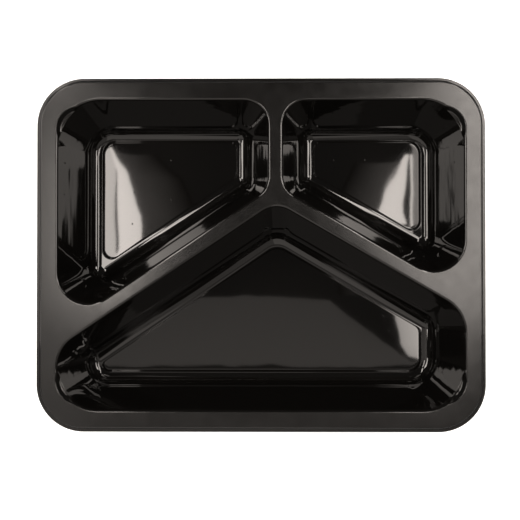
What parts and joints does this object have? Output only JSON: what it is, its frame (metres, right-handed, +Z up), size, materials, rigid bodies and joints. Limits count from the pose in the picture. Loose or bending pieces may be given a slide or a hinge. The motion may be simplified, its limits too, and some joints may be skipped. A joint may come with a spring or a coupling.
{
  "type": "three-compartment meal tray",
  "caption": "Rectangular black thermoformed meal tray with two small slanted compartments behind a large front one, flat sealing rim with a stepped lip, and corner stacking ledges.",
  "frame": {"origin": "middle of the outline, on the surface that the tray stands on", "axes": "+X along the length with the wider small compartment on the -X side, +Y towards the two small compartments, +Z up out of the compartments"},
  "size_m": [0.227, 0.179, 0.04],
  "materials": {
    "tray_black": "gloss"
  },
  "bodies": {
    "root": {"tray": "tray_black"}
  },
  "joints": []
}
